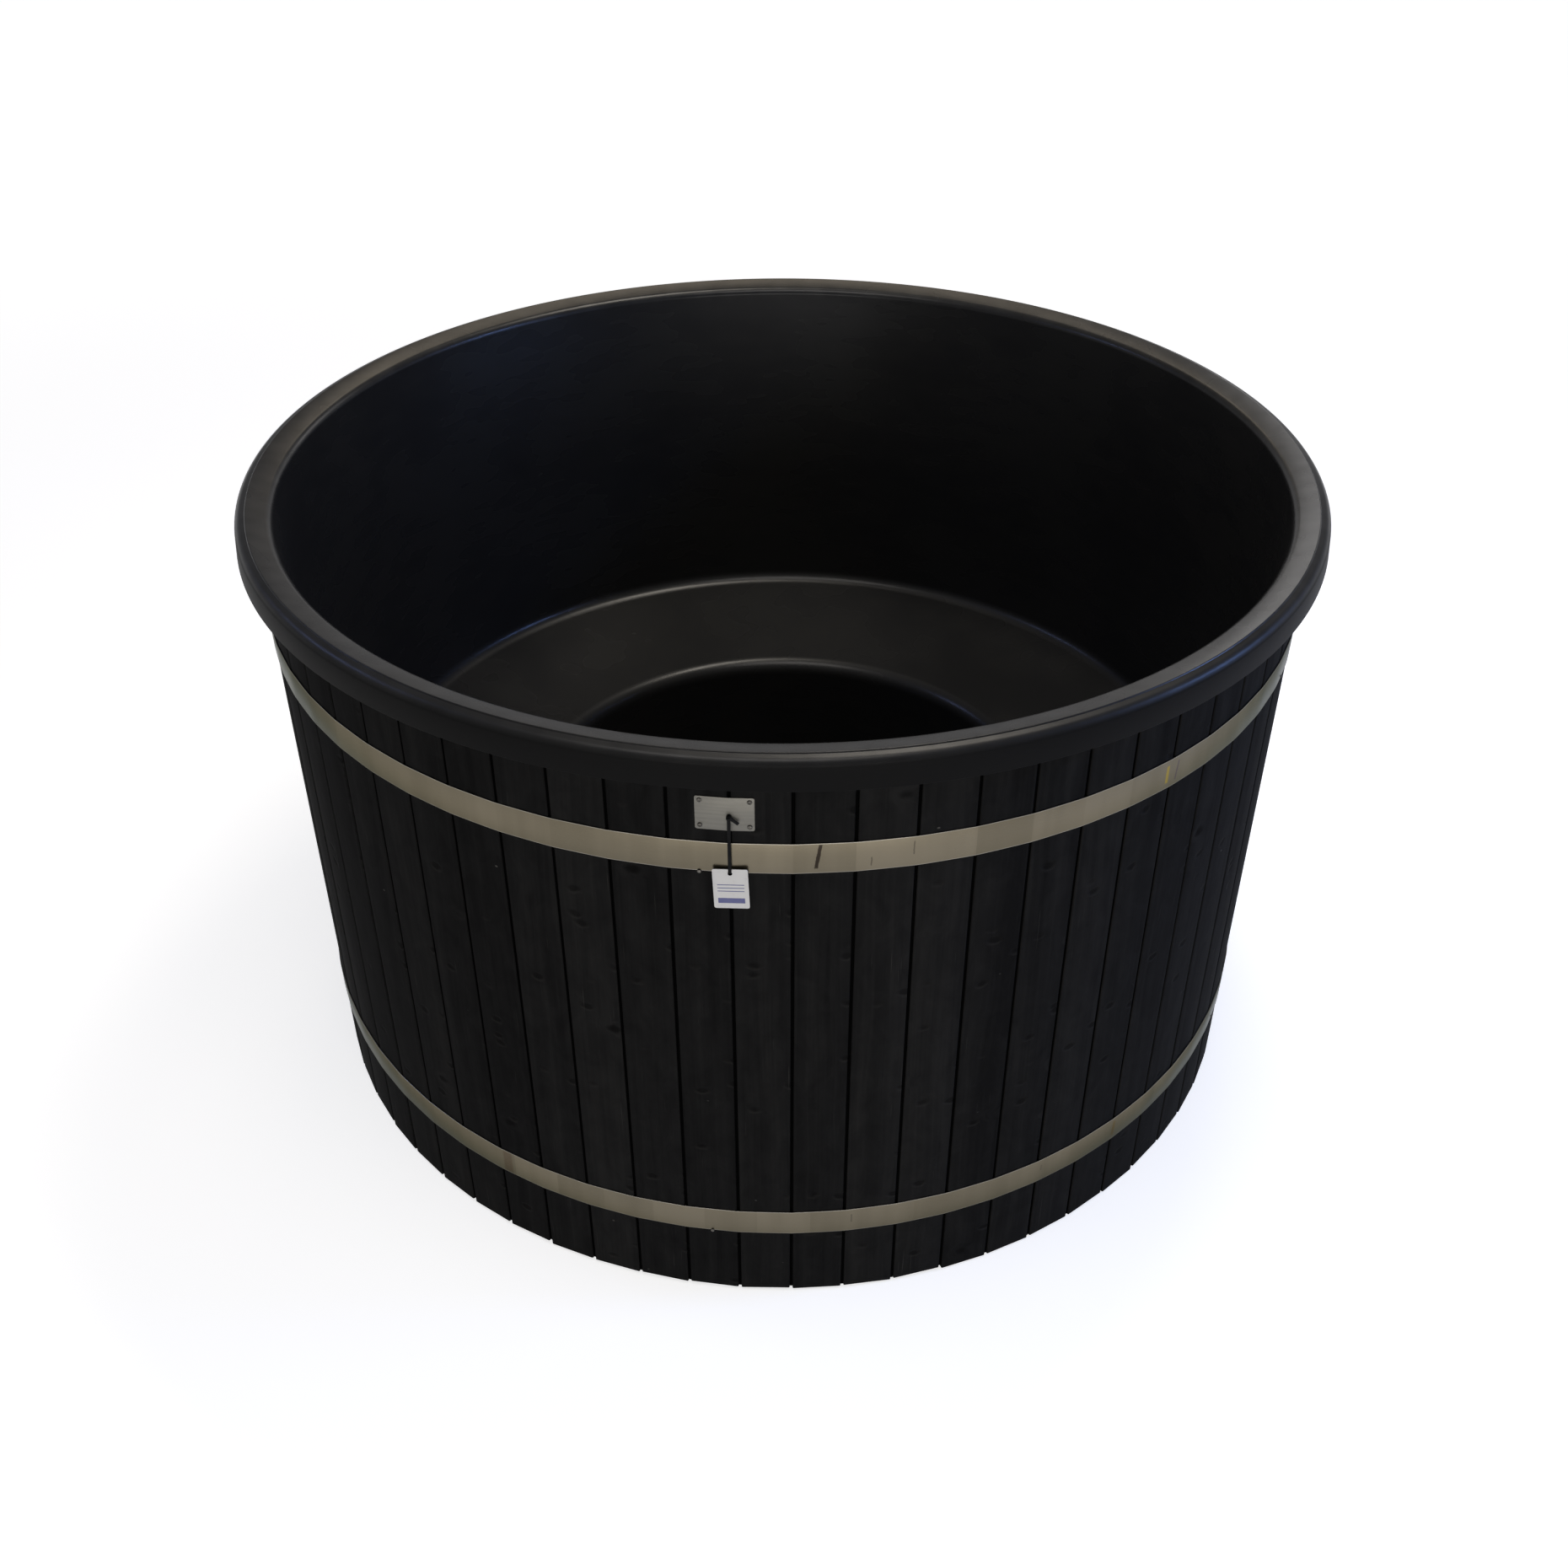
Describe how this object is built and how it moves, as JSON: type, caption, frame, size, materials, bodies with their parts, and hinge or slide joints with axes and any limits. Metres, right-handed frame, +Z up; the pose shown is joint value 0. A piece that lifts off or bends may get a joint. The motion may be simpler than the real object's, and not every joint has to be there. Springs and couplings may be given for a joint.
{
  "type": "wood-burning hot tub",
  "caption": "Round free-standing hot tub: a moulded liner with a sloping bench and a foot well, clad in dark staves held by steel hoops, with stove ports and a drain valve.",
  "frame": {"origin": "on the floor under the tub's axis, at the centre bearer's underside", "axes": "+Z up along the tub's axis, -Y towards the front with the name plate, +X to its right"},
  "size_m": [1.8208, 1.821, 1.0975],
  "materials": {
    "liner_plastic": "satin",
    "stave_wood": "satin",
    "hoop_steel": "satin",
    "fastener_steel": "satin",
    "nail_steel": "satin",
    "black_nail": "satin",
    "plate_metal": "satin",
    "tie_plastic": "satin",
    "tag_card": "matte",
    "bearer_wood": "matte",
    "ply_wood": "matte",
    "insulation_foam": "matte",
    "pipe_steel": "satin",
    "seal_rubber": "matte",
    "fitting_plastic": "satin",
    "valve_brass": "satin",
    "seat_plastic": "satin",
    "ball_chrome": "polished",
    "lever_steel": "satin",
    "grip_rubber": "satin"
  },
  "bodies": {
    "tub": {"base_bearer_1": "bearer_wood", "base_bearer_2": "bearer_wood", "base_bearer_3": "bearer_wood", "base_deck": "ply_wood", "bench_supports": "ply_wood", "drain_collar": "fitting_plastic", "drain_hose_tail": "valve_brass", "drain_locknut": "fitting_plastic", "drain_pipe": "pipe_steel", "drain_seals": "seal_rubber", "drain_strainer": "fitting_plastic", "hoop_bolts": "fastener_steel", "hoop_nails": "nail_steel", "hoop_nuts": "fastener_steel", "hoop_rivets": "fastener_steel", "insulation_jacket": "insulation_foam", "lower_backing_ring": "ply_wood", "lower_hoop": "hoop_steel", "lower_hoop_lugs": "fastener_steel", "lower_port_collar": "fitting_plastic", "lower_port_grille": "fitting_plastic", "lower_port_locknut": "fitting_plastic", "lower_port_pipe": "pipe_steel", "lower_port_seals": "seal_rubber", "name_plate": "plate_metal", "plate_screws": "fastener_steel", "staves_01": "stave_wood", "staves_02": "stave_wood", "staves_03": "stave_wood", "staves_04": "stave_wood", "staves_05": "stave_wood", "staves_06": "stave_wood", "staves_07": "stave_wood", "staves_08": "stave_wood", "staves_09": "stave_wood", "staves_10": "stave_wood", "staves_11": "stave_wood", "staves_12": "stave_wood", "staves_13": "stave_wood", "tag_nail": "black_nail", "tub_liner": "liner_plastic", "upper_backing_ring": "ply_wood", "upper_hoop": "hoop_steel", "upper_hoop_lugs": "fastener_steel", "upper_port_collar": "fitting_plastic", "upper_port_grille": "fitting_plastic", "upper_port_locknut": "fitting_plastic", "upper_port_pipe": "pipe_steel", "upper_port_seals": "seal_rubber", "valve_body": "valve_brass", "valve_gland_nut": "valve_brass", "valve_seats": "seat_plastic"},
    "tag_tie": {"tag_tie": "tie_plastic"},
    "hang_tag": {"hang_tag": "tag_card"},
    "drain_handle": {"valve_lever": "lever_steel", "valve_lever_grip": "grip_rubber", "valve_lever_nut": "lever_steel", "valve_stem": "lever_steel", "valve_ball": "ball_chrome"}
  },
  "joints": [
    {"name": "tag_tie_swing", "type": "hinge", "parent": "tub", "child": "tag_tie", "pos_m": [0, -0.884, 0.987], "axis": [0, -1, 0], "range_deg": [-80, 80]},
    {"name": "hang_tag_swing", "type": "hinge", "parent": "tag_tie", "child": "hang_tag", "pos_m": [0, -0.8843, 0.89272], "axis": [0, -1, 0], "range_deg": [-45, 45]},
    {"name": "drain_lever_turn", "type": "hinge", "parent": "tub", "child": "drain_handle", "pos_m": [-0.65077, 0.66668, 0.14], "axis": [0, 0, 1], "range_deg": [0, 90]}
  ]
}
